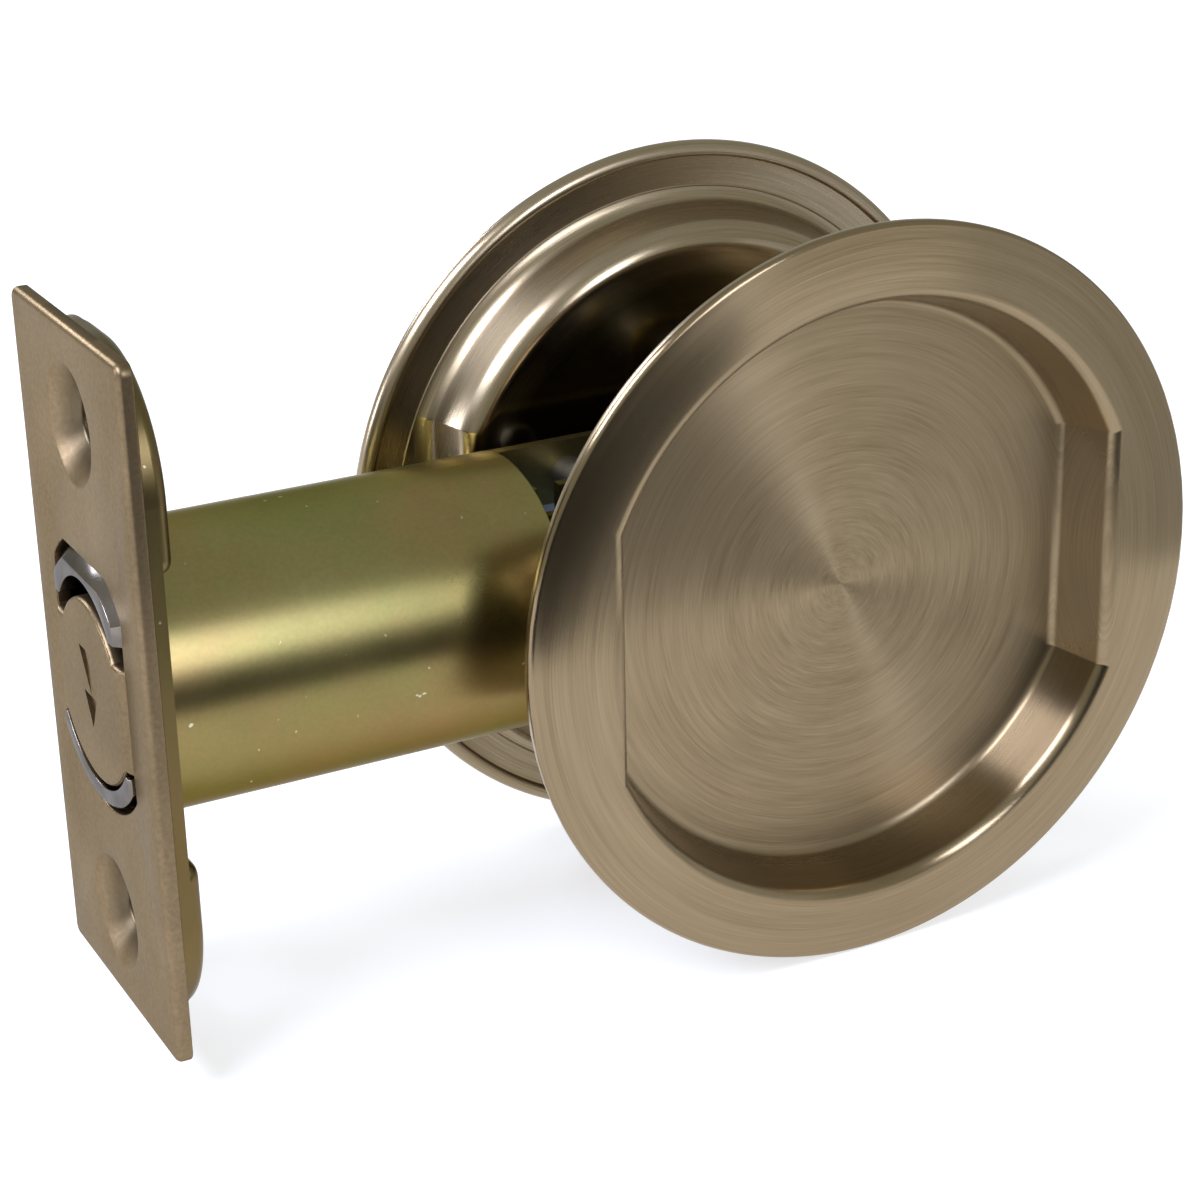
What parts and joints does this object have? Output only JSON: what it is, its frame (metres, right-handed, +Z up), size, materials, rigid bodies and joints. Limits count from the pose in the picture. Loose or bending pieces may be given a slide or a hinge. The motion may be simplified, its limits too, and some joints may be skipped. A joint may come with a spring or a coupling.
{
  "type": "round flush pocket door pull set",
  "caption": "Round flush pull set for a pocket door: two recessed cups clamped through the door, a tubular body and an edge pull that slides out of the faceplate.",
  "frame": {"origin": "where the latch tube's axis crosses the common axis of the two cups", "axes": "-X out of the door's edge through the faceplate, -Y out of the front cup, +Y out of the rear cup, +Z up the door"},
  "size_m": [0.0925, 0.0352, 0.0636],
  "materials": {
    "satin_nickel": "brushed satin nickel plate",
    "yellow_zinc": "yellow zinc plate",
    "bright_chrome": "polished",
    "bright_steel": "bright zinc plate",
    "grey_plastic": "moulded"
  },
  "bodies": {
    "housing": {"faceplate": "satin_nickel", "backing_plate": "yellow_zinc", "latch_tube": "yellow_zinc", "return_spring": "bright_steel", "guide_disc": "bright_steel", "push_catch": "grey_plastic", "front_case_plate": "yellow_zinc", "rear_case_plate": "yellow_zinc", "case_rivet_1": "bright_steel", "case_rivet_2": "bright_steel", "case_rivet_3": "bright_steel", "case_rivet_4": "bright_steel", "front_cup": "satin_nickel", "rear_cup": "satin_nickel", "upper_post": "bright_steel", "lower_post": "bright_steel", "upper_cup_screw": "bright_steel", "lower_cup_screw": "bright_steel"},
    "pull": {"edge_pull": "bright_chrome", "pull_stem": "bright_steel", "stem_clip": "bright_steel"}
  },
  "joints": [
    {"name": "edge_pull_slide", "type": "slide", "parent": "housing", "child": "pull", "axis": [-1, 0, 0], "range_m": [0, 0.012], "deforming": ["return_spring"]}
  ]
}
